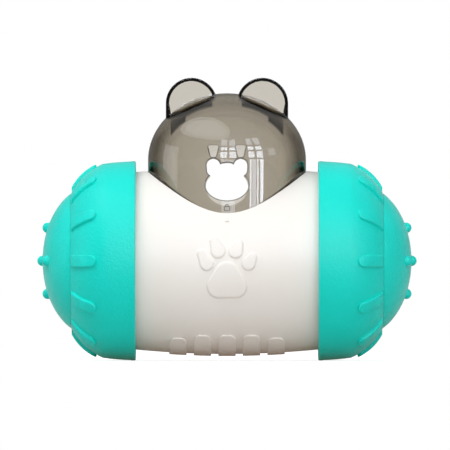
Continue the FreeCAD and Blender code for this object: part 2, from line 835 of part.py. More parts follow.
def collar():
    """The ring inside the barrel round the dome's foot, with the ledge under it and the lock's lugs."""
    inner = dome_radius + size.dome_clearance
    outer = inner + size.collar_wall
    foot = ledge_level - size.ledge_thickness
    height = barrel_radius - foot
    ring = cut("collar_ring", cylinder("collar_outside", outer, height, (0, 0, foot)),
               cylinder("collar_inside", inner, height, (0, 0, foot)))
    trimmed = common("collar_trimmed", ring, barrel_form("collar_form", -size.barrel_wall / 2))
    ledge_inner = dome_radius - size.dome_wall - size.ledge_width
    ledge = cut("ledge", cylinder("ledge_outside", inner + size.collar_wall / 2, size.ledge_thickness,
                                  (0, 0, foot)),
                cylinder("ledge_inside", ledge_inner, size.ledge_thickness, (0, 0, foot)))
    return [trimmed, ledge, *lugs(inner)]


def lugs(collar_radius):
    """Short arcs of rib that stand out from the collar into the dome's slots."""
    tip = dome_radius - size.lug_depth
    blank = cut("lug_blank", cylinder("lug_outside", collar_radius + size.collar_wall / 2, size.lug_height,
                                      (0, 0, lug_level)),
                cylinder("lug_inside", tip, size.lug_height, (0, 0, lug_level)))
    first = common("lug", blank, sector("lug_sector", lug_level, size.lug_height, size.lug_angle,
                                        -size.lug_angle / 2))
    return turned_copies(first, int(size.lug_count.value), Vector(0, 0, 1))


def sector(name, level, height, angle, start):
    """A wedge of a disc wide enough to reach through the collar, between two angles from +X."""
    wedge = cylinder(name, dome_radius + size.dome_clearance + size.collar_wall, height,
                     (0, 0, level), Rotation(Vector(0, 0, 1), as_size(start).value), sector=angle)
    return wedge


def plate_bosses():
    """Screw bosses for the end plates, each joined to the barrel's wall by a web."""
    bosses = []
    for side, (sign, turn) in OUTWARDS.items():
        start_x = (plate_inner_x - size.boss_length) * sign
        for index, spot in enumerate(spots_round(size.boss_count, boss_circle_radius)):
            name = f"{side}_boss_{index + 1}"
            post = cylinder(f"{name}_post", size.boss_radius, size.boss_length, (start_x, *spot), turn)
            web_length = barrel_end_radius - size.barrel_wall / 2 - boss_circle_radius
            web = bind(doc.addObject("Part::Box", f"{name}_web"), Length=size.boss_length,
                       Width=size.boss_web, Height=web_length)
            swing = Rotation(Vector(1, 0, 0), 360 * index / size.boss_count.value)
            corner = swing.multVec(Vector(0, -size.boss_web.value / 2, boss_circle_radius.value))
            middle_x = (plate_inner_x - size.boss_length / 2) * sign
            place(web, (middle_x - size.boss_length / 2, corner.y, corner.z), swing)
            bosses.extend([post, web])
    return bosses


def pilot_holes():
    holes = []
    radius = size.screw_radius + size.pilot_clearance
    depth = size.screw_length + size.pilot_spare
    for side, (sign, turn) in OUTWARDS.items():
        for index, spot in enumerate(spots_round(size.boss_count, boss_circle_radius)):
            holes.append(cylinder(f"{side}_pilot_{index + 1}", radius, depth,
                                  ((barrel_end_x - depth) * sign, *spot), turn))
    for index, spot in enumerate(cover_screw_spots()):
        holes.append(cylinder(f"cover_pilot_{index + 1}", radius, depth,
                              (*spot, cover_level + size.cover_thickness - depth)))
    return holes


# Counterweight

def cover_screw_spots():
    """Beyond both ends of the cradle, where the posts stand clear of it."""
    from_middle = weight_end_x + size.weight_clearance + size.cradle_wall + size.post_gap + size.boss_radius
    return [(from_middle * across, size.cover_screw_pitch * depth / 2)
            for across in (-1, 1) for depth in (-1, 1)]


def cradle():
    """Walls round the counterweight, ribs under it and posts for the cover's screws."""
    room = size.weight_clearance * 2
    inner = (size.weight_length + room, size.weight_width + room)
    outer = (inner[0] + size.cradle_wall * 2, inner[1] + size.cradle_wall * 2)
    bottom = -barrel_radius
    height = cover_level - bottom
    walls = cut("cradle_walls", box("cradle_outside", *outer, height, (0, 0, bottom)),
                box("cradle_inside", *inner, height, (0, 0, bottom)))
    parts = [walls]
    count = int(size.cradle_rib_count.value)
    for index in range(count):
        across = size.weight_length * ((index + 0.5) / count - 0.5)
        parts.append(box(f"cradle_rib_{index + 1}", size.cradle_wall, inner[1] + size.cradle_wall,
                         weight_level - bottom, (across, 0, bottom)))
    for index, (across, depth) in enumerate(cover_screw_spots()):
        parts.append(cylinder(f"cover_post_{index + 1}", size.boss_radius, height, (across, depth, bottom)))
    return common("cradle", fuse("cradle_blank", parts), barrel_form("cradle_form", -size.barrel_wall / 2))


def counterweight():
    block = box("weight_block", size.weight_length, size.weight_width, size.weight_height,
                (0, 0, weight_level))
    doc.recompute()
    chamfered = doc.addObject("Part::Chamfer", "counterweight")
    chamfered.Base = block
    depth = size.weight_chamfer.value
    chamfered.Edges = [(index, depth, depth) for index in range(1, len(block.Shape.Edges) + 1)]
    piece("counterweight", chamfered)


def weight_cover():
    length = (cover_screw_spots()[-1][0] + size.cover_margin) * 2
    width = size.weight_width + size.weight_clearance * 2 + size.cradle_wall * 2
    blank = box("cover_blank", length, width, size.cover_thickness, (0, 0, cover_level))
    cornered = rounded("cover_cornered", blank, size.cover_margin,
                       lambda edge: edge.BoundBox.ZLength > size.cover_thickness.value / 2)
    holes = [cylinder(f"cover_hole_{index + 1}", size.screw_radius + size.hole_clearance,
                      size.cover_thickness * 2, (*spot, cover_level - size.cover_thickness / 2))
             for index, spot in enumerate(cover_screw_spots())]
    piece("weight_cover", cut("weight_cover", cornered, *holes))
    for index, spot in enumerate(cover_screw_spots()):
        screw(f"weight_screw_{index + 1}", (*spot, cover_level + size.cover_thickness))


def barrel():
    dome_hole = cylinder("dome_hole", dome_radius + size.dome_clearance, barrel_radius,
                         (0, 0, ledge_level))
    walls = fuse("barrel_walls", [barrel_shell(), grips(), paw_print()])
    opened = cut("barrel_opened", walls, dome_hole)
    inside = fuse("barrel_inside", [*collar(), cradle(), *plate_bosses()])
    piece("barrel", cut("barrel", fuse("barrel_joined", [opened, inside]), *pilot_holes()))


# Treat tray

def treat_tray():
    """A shallow dish that hangs by its flange on the collar's ledge."""
    ledge_inner = dome_radius - size.dome_wall - size.ledge_width
    dish = ledge_inner - size.tray_clearance
    flange = dome_radius - size.dome_wall - size.tray_clearance
    rim = ledge_level + size.tray_flange_thickness
    mouth = dish - size.tray_wall
    floor = ledge_level - size.tray_depth
    inner_depth = size.tray_depth + size.tray_flange_thickness - size.tray_wall
    piece("treat_tray", turned_body("treat_tray_body", "Z", [
        (0, floor, arc_radius(dish, size.tray_depth)),
        (dish, ledge_level),
        (flange, ledge_level),
        (flange, rim),
        (mouth, rim, -arc_radius(mouth, inner_depth)),
        (0, floor + size.tray_wall),
    ]))


# Hopper dome and its ears

def dome_form(name, inset, foot):
    """The solid inside the dome's surface, or so far inside it: a straight side under half an ellipsoid."""
    radius = dome_radius - inset
    side = cylinder(f"{name}_side", radius, dome_shoulder - foot, (0, 0, foot))
    top = ellipsoid(f"{name}_top", size.dome_rise - inset, radius, (0, 0, dome_shoulder))
    top.Angle1 = 0
    return fuse(name, [side, top])


def oval_prism(name, width, height, level, near, far, across=0):
    """An elliptical bar through the dome's wall, from the depth near to the depth far."""
    oval = doc.addObject("Part::Ellipse", f"{name}_oval")
    wide = width.value >= height.value
    major, minor = (width, height) if wide else (height, width)
    bind(oval, MajorRadius=major / 2, MinorRadius=minor / 2)
    turn = FACING_FRONT if wide else FACING_FRONT * Rotation(Vector(0, 0, 1), 90)
    place(oval, (as_size(across), near, level), turn)
    bar = doc.addObject("Part::Extrusion", name)
    bar.Base = oval
    bar.DirMode = "Custom"
    bar.Dir = Vector(0, 1, 0)
    bar.Solid = True
    return bind(bar, LengthFwd=far - near)


def bear_outlet(name, near, far, chin_drop):
    """The bear's head in outline: a wide jaw, a rounder crown and two ears."""
    jaw = oval_prism(f"{name}_jaw", size.jaw_width, size.jaw_height + chin_drop,
                     jaw_level - chin_drop / 2, near, far)
    crown = cylinder(f"{name}_crown", size.crown_radius, far - near, (0, far, crown_level), ALONG_Y)
    ears = [cylinder(f"{name}_{side}_ear", size.outlet_ear_radius, far - near,
                     (size.outlet_ear_offset * sign, far, outlet_ear_level), ALONG_Y)
            for side, sign in (("left", -1), ("right", 1))]
    return fuse(name, [jaw, crown, *ears])


def vent(name, middle, near, far):
    """A tulip-shaped window that widens upwards from a rounded foot."""
    half_foot = size.vent_foot_width / 2
    half_top = size.vent_top_width / 2
    corner = size.vent_corner_radius
    foot = outlet_ear_level + size.outlet_ear_radius + size.vent_gap
    low = foot + size.vent_foot_rise
    top = foot + size.vent_height
    flare = half_top - half_foot
    side = root(flare * flare + (top - corner - low) * (top - corner - low))
    side_arc = -arc_radius(side / 2, size.vent_side_dip)
    return front_prism(name, [
        (middle - half_foot, low, arc_radius(half_foot, size.vent_foot_rise)),
        (middle + half_foot, low, side_arc),
        (middle + half_top, top - corner, corner),
        (middle + half_top - corner, top, arc_radius(half_top - corner, size.vent_top_rise)),
        (middle - half_top + corner, top, corner),
        (middle - half_top, top - corner, side_arc),
    ], near, far)


def lock_slots():
    """Slots in the dome's foot: up past the lug, then round to where the lug holds the dome."""
    foot = ledge_level - size.lock_play
    half = size.lug_angle / 2 + size.lock_play_angle
    run = sector("lock_run", lug_level - size.lock_play, size.lug_height + size.lock_play * 2,
                 size.lock_turn + half * 2, -(size.lock_turn + half))
    entry = sector("lock_entry", foot, lug_level + size.lug_height + size.lock_play - foot,
                   half * 2, -(size.lock_turn + half))
    return turned_copies(fuse("lock_slot", [run, entry]), int(size.lug_count.value), Vector(0, 0, 1))


def hopper_dome():
    foot = ledge_level + size.lock_play
    shell = cut("dome_shell", dome_form("dome_outside", 0, foot),
                dome_form("dome_inside", size.dome_wall, foot - size.dome_wall))
    front = -dome_radius - size.dome_wall
    outlets = [bear_outlet("front_outlet", front, -dome_radius / 2, as_size(0)),
               bear_outlet("back_outlet", dome_radius / 2, -front, size.back_chin_drop)]
    vents = [vent(f"{side}_vent", size.outlet_ear_offset * sign, front, -dome_radius / 2)
             for side, sign in (("left", -1), ("right", 1))]
    ear_slots = [tongue_slab("right_ear_slot", tongue_start - size.slot_clearance,
                             tongue_end + size.slot_clearance, size.slot_clearance)]
    ear_slots.append(mirrored("left_ear_slot", ear_slots[0]))
    piece("hopper_dome", cut("hopper_dome", shell, *outlets, *vents, *lock_slots(), *ear_slots))


def tongue_slab(name, start, end, clearance=0):
    """An upright slab over the stretch of the dome's top that an ear's tongue passes through."""
    depth = size.ear_depth - size.tongue_inset * 2 + clearance * 2
    height = size.dome_rise + size.dome_wall
    return box(name, end - start, depth, height, ((start + end) / 2, 0, dome_shoulder))


def ear_arch(name, radius, depth):
    """The ear's outline, round at the top and straight-sided below, as a prism across the toy's depth."""
    left = size.ear_offset - radius
    right = size.ear_offset + radius
    return front_prism(name, [
        (right, ear_level, radius),
        (size.ear_offset, ear_level + radius, radius),
        (left, ear_level),
        (left, dome_shoulder),
        (right, dome_shoulder),
    ], -depth / 2, depth / 2)


def ears():
    """Hollow-rimmed ears, each held by a tongue through the dome and a hook under its wall."""
    rim = cut("ear_rim", ear_arch("ear_outline", size.ear_radius, size.ear_depth),
              ear_arch("ear_hollow", size.ear_radius - size.ear_rim, size.ear_depth * 2))
    softened = rounded("ear_rim_softened", rim, size.ear_edge_radius,
                       lambda edge: lies_on_face(edge, size.ear_depth.value / 2))
    web = ear_arch("ear_web", size.ear_radius - size.ear_rim / 2, size.ear_web)
    above = cut("ear_above", fuse("ear_blank", [softened, web]), dome_form("ear_seat", 0, as_size(0)))
    plug = cut("ear_plug",
               common("ear_plug_blank", tongue_slab("tongue_slab", tongue_start, tongue_end),
                      dome_form("ear_plug_form", 0, as_size(0))),
               dome_form("tongue_floor", size.dome_wall + size.tongue_reach, -size.dome_wall))
    hook_top = size.dome_wall + size.slot_clearance
    hook = cut("ear_hook",
               common("ear_hook_blank", tongue_slab("hook_slab", hook_start, hook_end),
                      dome_form("hook_roof", hook_top, as_size(0))),
               dome_form("hook_floor", size.dome_wall + size.hook_reach, -size.dome_wall))
    ear = fuse("ear", [above, plug, hook])
    piece("right_ear", ear)
    PIECES.append(mirrored("left_ear", ear))


def lies_on_face(edge, depth):
    """Whether an edge of the ear's rim runs round its front or its back, above its straight foot."""
    on_face = all(abs(abs(vertex.Y) - depth) < SAME_PLACE for vertex in edge.Vertexes)
    return on_face and edge.BoundBox.ZMax > dome_shoulder.value + SAME_PLACE


def check_and_export():
    doc.recompute()
    for item in doc.Objects:
        if "Invalid" in item.State or "Error" in item.State:
            raise RuntimeError(f"{item.Name} failed: {item.State}")
    os.makedirs("parts", exist_ok=True)
    for solid in PIECES:
        shape = solid.Shape
        if shape.isNull() or not shape.isValid() or len(shape.Solids) != 1:
            raise RuntimeError(f"{solid.Label} isn't one valid solid: {len(shape.Solids)}")
        shape.exportStep(f"parts/{solid.Label}.step")
        print(f"{solid.Label}: {shape.Volume / 1000:.2f} cm3")


wheels()
hub_caps()
end_plates()
washers()
axle_and_plate_screws()
barrel()
counterweight()
weight_cover()
treat_tray()
hopper_dome()
ears()
check_and_export()
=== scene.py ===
# Rolling treat dispenser: a weighted white barrel between two teal wheels, under a smoky bear-shaped dome
import json
import math
import bpy
import bmesh
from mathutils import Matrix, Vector


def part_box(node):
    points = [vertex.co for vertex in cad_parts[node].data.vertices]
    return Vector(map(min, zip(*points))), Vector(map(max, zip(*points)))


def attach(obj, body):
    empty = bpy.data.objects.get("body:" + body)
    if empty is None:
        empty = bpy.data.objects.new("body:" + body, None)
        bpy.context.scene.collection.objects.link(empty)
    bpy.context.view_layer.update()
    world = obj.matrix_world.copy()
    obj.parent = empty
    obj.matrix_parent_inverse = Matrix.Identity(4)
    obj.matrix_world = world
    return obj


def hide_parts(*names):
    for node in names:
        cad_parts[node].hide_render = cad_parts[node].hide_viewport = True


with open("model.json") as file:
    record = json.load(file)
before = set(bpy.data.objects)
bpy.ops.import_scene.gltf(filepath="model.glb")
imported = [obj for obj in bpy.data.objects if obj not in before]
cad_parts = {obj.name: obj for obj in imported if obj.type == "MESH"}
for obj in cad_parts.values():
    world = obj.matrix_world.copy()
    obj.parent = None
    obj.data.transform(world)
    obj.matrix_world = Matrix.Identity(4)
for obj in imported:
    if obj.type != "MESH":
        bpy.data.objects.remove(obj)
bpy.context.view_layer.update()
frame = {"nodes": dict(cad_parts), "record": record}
nodes = frame["nodes"]
scene = bpy.context.scene

# places that everything else is set out from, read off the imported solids
wheelLow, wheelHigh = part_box("right_wheel")
domeLow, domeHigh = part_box("hopper_dome")
axleHeight = wheelLow.z + (wheelHigh.z - wheelLow.z) / 2
domeRadius = (domeHigh.x - domeLow.x) / 2

millimetres = 1000  # in a metre


class Wire:  # one socket of a node tree, so that its sums can be written as sums
    def __init__(self, nodes, socket):
        self.nodes = nodes
        self.socket = socket

    def math(self, operation, *others):
        made = self.nodes.add("Math", {"operation": operation}, {0: self, **dict(enumerate(others, 1))})
        return Wire(self.nodes, made.outputs[0])

    def __add__(self, other):
        return self.math("ADD", other)

    def __sub__(self, other):
        return self.math("SUBTRACT", other)

    def __mul__(self, other):
        return self.math("MULTIPLY", other)

    def __truediv__(self, other):
        return self.math("DIVIDE", other)

    def __rsub__(self, other):
        return self.math("MULTIPLY_ADD", -1.0, other)


class Nodes:  # a node tree, with one way to add any node to it; a list is for a socket that takes several
    def __init__(self, tree):
        self.tree = tree
        self.tree.nodes.clear()

    def add(self, kind, settings=None, values=None):
        made = self.tree.nodes.new(kind if "Node" in kind else "ShaderNode" + kind)
        for name, value in (settings or {}).items():
            setattr(made, name, value)
        for name, value in (values or {}).items():
            for item in value if isinstance(value, list) else [value]:
                if isinstance(item, Wire):
                    self.tree.links.new(item.socket, made.inputs[name])
                else:
                    made.inputs[name].default_value = item
        return made

    def wire(self, kind, settings=None, values=None, output=0):
        return Wire(self, self.add(kind, settings, values).outputs[output])

    def parts(self, vector):
        split = self.add("SeparateXYZ", None, {0: vector})
        return [Wire(self, socket) for socket in split.outputs]

    def joined(self, x, y, z):
        return self.wire("CombineXYZ", None, {0: x, 1: y, 2: z})


class Shader(Nodes):  # a material, or the world
    def __init__(self, name, owner=None):
        self.owner = owner or bpy.data.materials.new(name)
        self.owner.use_nodes = True
        super().__init__(self.owner.node_tree)

    def noise(self, place, scale, detail=2.0, roughness=0.5):
        values = {"Vector": place, "Scale": scale, "Detail": detail, "Roughness": roughness}
        return self.wire("TexNoise", None, values)

    def mixed(self, factor, first, second):
        return self.wire("Mix", {"data_type": "RGBA"}, {0: factor, 6: first, 7: second}, output=2)

    def graded(self, amount, start, end, low, high):
        return self.wire("MapRange", {"interpolation_type": "SMOOTHSTEP"},
                         {0: amount, 1: start, 2: end, 3: low, 4: high})

    def bumped(self, height, distance, strength=1.0):
        return self.wire("Bump", None, {"Height": height, "Distance": distance, "Strength": strength})

    def finished(self, surface, volume=None):
        ends = {"Surface": surface} if volume is None else {"Surface": surface, "Volume": volume}
        self.add("OutputMaterial", None, ends)
        return self.owner


def srgb(*parts):  # a colour as the eye reads it off a screen, from 0 to 255
    return tuple(((part / 255 + 0.055) / 1.055) ** 2.4 if part > 10 else part / 3295 for part in parts)


def meshFrom(draft, name):  # the draft is used up
    bmesh.ops.recalc_face_normals(draft, faces=draft.faces)
    mesh = bpy.data.meshes.new(name)
    draft.to_mesh(mesh)
    draft.free()
    return mesh


def addWalls(draft, rings):  # from each ring to the next
    for first, second in zip(rings, rings[1:]):
        for index in range(len(first)):
            follower = (index + 1) % len(first)
            draft.faces.new((first[index], first[follower], second[follower], second[index]))


# Materials

whiteValues = {
    "colour": srgb(248, 246, 243),
    "worn": srgb(243, 239, 233),
    "mottle": 26.0,  # per metre, of the worn patches
    "roughness": 0.42,
    "spread": 0.08,  # between the smoothest and the roughest patch
    "specular": 0.35,
    "grain": 1500.0,  # per metre
    "grainDepth": 0.00003,
    "grainStrength": 0.5,
}


def whitePlastic():
    shader = Shader("whitePlastic")
    place = shader.wire("TexCoord", output=3)
    mottle = shader.noise(place, whiteValues["mottle"], 3.0)
    grain = shader.noise(place, whiteValues["grain"])
    return shader.finished(shader.wire("BsdfPrincipled", None, {
        "Base Color": shader.mixed(mottle, (*whiteValues["colour"], 1), (*whiteValues["worn"], 1)),
        "Roughness": mottle * whiteValues["spread"] + (whiteValues["roughness"] - whiteValues["spread"] / 2),
        "Specular IOR Level": whiteValues["specular"],
        "Normal": shader.bumped(grain, whiteValues["grainDepth"], whiteValues["grainStrength"]),
    }))


tealValues = {
    "colour": srgb(8, 229, 217),
    "deep": srgb(4, 221, 207),
    "mottle": 40.0,  # per metre, of the deep patches
    "roughness": 0.44,
    "spread": 0.12,  # between the smoothest and the roughest spot
    "specular": 0.2,
    "sheen": 0.3,
    "sheenRoughness": 0.3,
    "peel": 820.0,  # per metre, of the orange-peel surface
    "peelDepth": 0.0002,
    "fine": 3.1,  # how much closer a second, fainter peel is
    "fineShare": 0.35,
}


def tealPlastic():
    shader = Shader("tealPlastic")
    place = shader.wire("TexCoord", output=3)
    mottle = shader.noise(place, tealValues["mottle"], 3.0)
    peel = shader.noise(place, tealValues["peel"], 2.0, 0.55)
    fine = shader.noise(place, tealValues["peel"] * tealValues["fine"], 1.0)
    return shader.finished(shader.wire("BsdfPrincipled", None, {
        "Base Color": shader.mixed(mottle, (*tealValues["colour"], 1), (*tealValues["deep"], 1)),
        "Roughness": peel * tealValues["spread"] + (tealValues["roughness"] - tealValues["spread"] / 2),
        "Specular IOR Level": tealValues["specular"],
        "Sheen Weight": tealValues["sheen"],
        "Sheen Roughness": tealValues["sheenRoughness"],
        "Normal": shader.bumped(peel + fine * tealValues["fineShare"], tealValues["peelDepth"]),
    }))


smokyValues = {
    "tint": (0.985, 0.98, 0.97),
    "absorbed": (0.56, 0.51, 0.41),
    "density": 500.0,  # per metre, of the colour that it absorbs to
    "roughness": 0.0,
    "smudge": 0.014,  # how much rougher it gets where it has been touched
    "smudges": 38.5,  # per metre
    "paintedLimbShade": (0.12, 0.105, 0.08),  # painted shade towards the outline, as the colour of light that goes through at a slant
    "limbShade": (0.3, 0.68),  # the slants at which that painted shade starts and is full
    "crownShare": 0.25,  # how much of the painted shade is left near the dome's top
    "crown": (0.021, 0.006),  # how far under the top it starts to fade and has faded
    "paintedEdgeShade": (0.035, 0.03, 0.024),  # painted shade on cut edges and rims, standing in for the light that they bend away
    "ior": 1.47,
    "flow": 55.0,  # per metre, of the moulding's faint waves
    "flowDepth": 0.00003,
    "flowStrength": 0.25,
    "shadow": (0.62, 0.60, 0.56),
}


def smokyPlastic(name, tint):
    shader = Shader(name)
    place = shader.wire("TexCoord", output=3)
    flow = shader.noise(place, smokyValues["flow"], 1.0)
    smudge = shader.noise(place, smokyValues["smudges"], 3.0)
    # painted shade: the colour is darkened towards the dome's outline, where faces slant away, with less of
    # it near the top
    slant = shader.wire("LayerWeight", None, {0: 0.5}, output=1)
    limbShade = shader.wire("MapRange", None, {0: slant, **dict(enumerate(smokyValues["limbShade"], 1))})
    height = shader.parts(place)[2]
    low, high = (domeHigh.z - drop for drop in smokyValues["crown"])
    crown = shader.wire("MapRange", None, {0: height, 1: low, 2: high, 3: 1.0, 4: smokyValues["crownShare"]})
    glass = shader.wire("BsdfPrincipled", None, {
        "Base Color": shader.mixed(limbShade * crown, (*tint, 1), (*smokyValues["paintedLimbShade"], 1)),
        "Roughness": smudge * smokyValues["smudge"] + smokyValues["roughness"],
        "IOR": smokyValues["ior"],
        "Transmission Weight": 1.0,
        "Normal": shader.bumped(flow, smokyValues["flowDepth"], smokyValues["flowStrength"]),
    })
    film = shader.wire("BsdfTransparent", None, {"Color": (*smokyValues["shadow"], 1)})
    throughLight = shader.wire("LightPath", output=1)
    smoke = shader.wire("VolumeAbsorption", None, {"Color": (*smokyValues["absorbed"], 1),
                                                   "Density": smokyValues["density"]})
    return shader.finished(shader.wire("MixShader", None, {0: throughLight, 1: glass, 2: film}), smoke)


steelValues = {
    "streaks": 900.0,  # per metre, across them
    "streakDepth": 0.00002,
    "streakStrength": 0.5,
    "spread": 0.2,  # of the roughness
    "dark": 0.8,  # how bright the darkest streak is beside the brightest
    # colour, least roughness, and how the streaks are drawn out
    "zincSteel": ((0.62, 0.62, 0.63), 0.24, (1.0, 0.2, 1.0)),
    "milledSteel": ((0.4, 0.4, 0.41), 0.38, (0.05, 1.0, 1.0)),
}


def steel(name):
    colour, roughness, stretch = steelValues[name]
    shader = Shader(name)
    place = shader.wire("TexCoord", output=3)
    drawn = shader.wire("Mapping", None, {0: place, 3: stretch})
    streaks = shader.noise(drawn, steelValues["streaks"], 3.0)
    dark = [part * steelValues["dark"] for part in colour]
    return shader.finished(shader.wire("BsdfPrincipled", None, {
        "Base Color": shader.mixed(streaks, (*colour, 1), (*dark, 1)),
        "Metallic": 1.0,
        "Roughness": streaks * steelValues["spread"] + roughness,
        "Normal": shader.bumped(streaks, steelValues["streakDepth"], steelValues["streakStrength"]),
    }))


materials = {
    "white_plastic": whitePlastic(),
    "teal_plastic": tealPlastic(),
    "smoky_plastic": smokyPlastic("smokyPlastic", smokyValues["tint"]),
    "screw_steel": steel("zincSteel"),
    "weight_steel": steel("milledSteel"),
}
# a smoky plastic darkened with painted shade, for the walls of openings, the ears' rims and tongues, and the
# lock mark
smokyEdge = smokyPlastic("smokyEdge", smokyValues["paintedEdgeShade"])
print("materials made")


# Finishing the solids that stay as they are

def dressNodes():
    for part in frame["record"]["subparts"]:
        node = nodes[part["node"]]
        node.data.materials.clear()
        node.data.materials.append(materials[part["material_slot"]])


def addPiece(name, mesh, slot, body, *replaced):
    piece = bpy.data.objects.new(name, mesh)
    scene.collection.objects.link(piece)
    if not mesh.materials or mesh.materials[0] != materials[slot]:
        mesh.materials.clear()
        mesh.materials.append(materials[slot])
    if replaced:
        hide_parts(*replaced)
    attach(piece, body)
    return piece


seamValues = {
    "angle": 24.0,  # seams less sharp than this are shaded round
    "grid": 200000,  # parts of a metre, to which corners at one place are matched
    "nodes": {"left_wheel": "left_wheel_body", "right_wheel": "right_wheel_body"},
}


def softenSeams():  # the shoulder of each wheel runs into its tread without a crease
    closeness = math.cos(math.radians(seamValues["angle"]))
    for name, body in seamValues["nodes"].items():
        mesh = nodes[name].data.copy()
        meeting = {}
        for loop in mesh.loops:
            place = mesh.vertices[loop.vertex_index].co
            cell = tuple(round(part * seamValues["grid"]) for part in place)
            meeting.setdefault(cell, []).append(loop.index)
        corners = [normal.vector.copy() for normal in mesh.corner_normals]
        normals = [None] * len(corners)
        for loops in meeting.values():
            for loop in loops:
                near = (corners[other] for other in loops if corners[other].dot(corners[loop]) > closeness)
                normals[loop] = sum(near, Vector()).normalized()
        mesh.normals_split_custom_set(normals)
        addPiece(f"{name}_piece", mesh, "teal_plastic", body, name)


dressNodes()
softenSeams()
print("solids dressed")


# Geometry Nodes that set a shape on points, each turned to the way that its point aims

class Grower(Nodes):
    def __init__(self, name, sizes):
        super().__init__(bpy.data.node_groups.new(name, "GeometryNodeTree"))
        self.sizes = sizes
        self.identifiers = {}
        for side in ("INPUT", "OUTPUT"):
            self.tree.interface.new_socket("Geometry", in_out=side, socket_type="NodeSocketGeometry")
        for label in sizes:
            socket = self.tree.interface.new_socket(label, in_out="INPUT", socket_type="NodeSocketFloat")
            self.identifiers[label] = socket.identifier
        self.source = self.tree.nodes.new("NodeGroupInput")

    def given(self, label):
        return Wire(self, self.source.outputs[label])

    def moved(self, shape, offset=(0, 0, 0), scale=(1, 1, 1)):
        values = {"Geometry": shape, "Translation": offset, "Scale": scale}
        return self.wire("GeometryNodeTransform", None, values)

    def reshaped(self, shape, rule):
        here = self.parts(self.wire("GeometryNodeInputPosition"))
        there = self.joined(*rule(*here))
        return self.wire("GeometryNodeSetPosition", None, {"Geometry": shape, "Position": there})

    def together(self, *shapes):
        return self.wire("GeometryNodeJoinGeometry", None, {"Geometry": list(shapes)})

    def end(self, shape, slot):
        aim = self.wire("GeometryNodeInputNamedAttribute", {"data_type": "FLOAT_VECTOR"}, {"Name": "aim"})
        turn = self.wire("FunctionNodeAlignRotationToVector", {"axis": "Z"}, {"Vector": aim})
        copies = self.wire("GeometryNodeInstanceOnPoints", None,
                           {"Points": self.given("Geometry"), "Instance": shape, "Rotation": turn})
        real = self.wire("GeometryNodeRealizeInstances", None, {"Geometry": copies})
        done = self.wire("GeometryNodeSetMaterial", None, {"Geometry": real, "Material": materials[slot]})
        self.add("NodeGroupOutput", None, {0: done})

    def grown(self, name, spots):  # spots are pairs of a place and an aim
        points = bpy.data.meshes.new(name + "Points")
        points.from_pydata([place for place, aim in spots], [], [])
        aims = points.attributes.new("aim", "FLOAT_VECTOR", "POINT")
        aims.data.foreach_set("vector", [part for place, aim in spots for part in aim])
        holder = bpy.data.objects.new(name + "Points", points)
        scene.collection.objects.link(holder)
        modifier = holder.modifiers.new("grow", "NODES")
        modifier.node_group = self.tree
        for label, value in self.sizes.items():
            modifier[self.identifiers[label]] = value
        made = bpy.data.meshes.new_from_object(holder.evaluated_get(bpy.context.evaluated_depsgraph_get()))
        made.name = name
        bpy.data.objects.remove(holder)
        for face in made.polygons:
            face.use_smooth = False
        return made


# Screws with a crossed recess and a cut thread

screwSizes = {
    "Head Radius": 0.0026,
    "Head Height": 0.0016,
    "Recess Width": 0.0006,
    "Recess Length": 0.0028,
    "Recess Depth": 0.0009,
    "Shank Radius": 0.00105,
    "Shank Length": 0.008,
    "Tip Length": 0.0015,
    "Thread Pitch": 0.0009,
    "Thread Radius": 0.0002,
}
screwValues = {
    "headSegments": 32,
    "headRings": 16,
    "shankSegments": 24,
    "shankRings": 8,
    "tipShare": 0.12,  # of the shank's radius, left at the tip's end
    "threadShare": 0.8,  # of the shank's length, with a thread on it
    "threadEnd": 0.82,  # how far down the shank the thread ends, in shares of its length
    "stepsPerTurn": 20,
}


def screwTree():
    grower = Grower("screws", screwSizes)
    size = grower.given
    headRadius, headHeight, shankLength = size("Head Radius"), size("Head Height"), size("Shank Length")
    ball = grower.wire("GeometryNodeMeshUVSphere", None, {
        "Segments": screwValues["headSegments"], "Rings": screwValues["headRings"], "Radius": 1.0})
    head = grower.moved(ball, scale=grower.joined(headRadius, headRadius, headHeight))
    head = grower.reshaped(head, lambda x, y, z: (x, y, z.math("MAXIMUM", 0.0)))
    blades = []
    long, narrow = size("Recess Length"), size("Recess Width")
    for across, up in ((long, narrow), (narrow, long)):
        extent = grower.joined(across, up, size("Recess Depth") * 2)
        blade = grower.wire("GeometryNodeMeshCube", None, {"Size": extent})
        blades.append(grower.moved(blade, offset=grower.joined(0.0, 0.0, headHeight)))
    head = grower.wire("GeometryNodeMeshBoolean", {"operation": "DIFFERENCE", "solver": "EXACT"},
                       {"Mesh 1": head, "Mesh 2": blades})
    shank = grower.wire("GeometryNodeMeshCylinder", None, {
        "Vertices": screwValues["shankSegments"], "Side Segments": screwValues["shankRings"],
        "Radius": size("Shank Radius"), "Depth": shankLength})
    shank = grower.moved(shank, offset=grower.joined(0.0, 0.0, shankLength * -0.5))

    def taper(x, y, z):
        share = ((z + shankLength) / size("Tip Length") + screwValues["tipShare"]).math("MINIMUM", 1.0)
        return x * share, y * share, z

    turns = shankLength / size("Thread Pitch") * screwValues["threadShare"]
    spiral = grower.wire("GeometryNodeCurveSpiral", None, {
        "Resolution": screwValues["stepsPerTurn"], "Rotations": turns, "Start Radius": size("Shank Radius"),
        "End Radius": size("Shank Radius"), "Height": shankLength * screwValues["threadShare"]})
    rib = grower.wire("GeometryNodeCurvePrimitiveCircle", None,
                      {"Resolution": 4, "Radius": size("Thread Radius")})
    thread = grower.wire("GeometryNodeCurveToMesh", None,
                         {"Curve": spiral, "Profile Curve": rib, "Fill Caps": True})
    thread = grower.moved(thread, offset=grower.joined(0.0, 0.0, shankLength * -screwValues["threadEnd"]))
    grower.end(grower.together(head, grower.reshaped(shank, taper), thread), "screw_steel")
    return grower


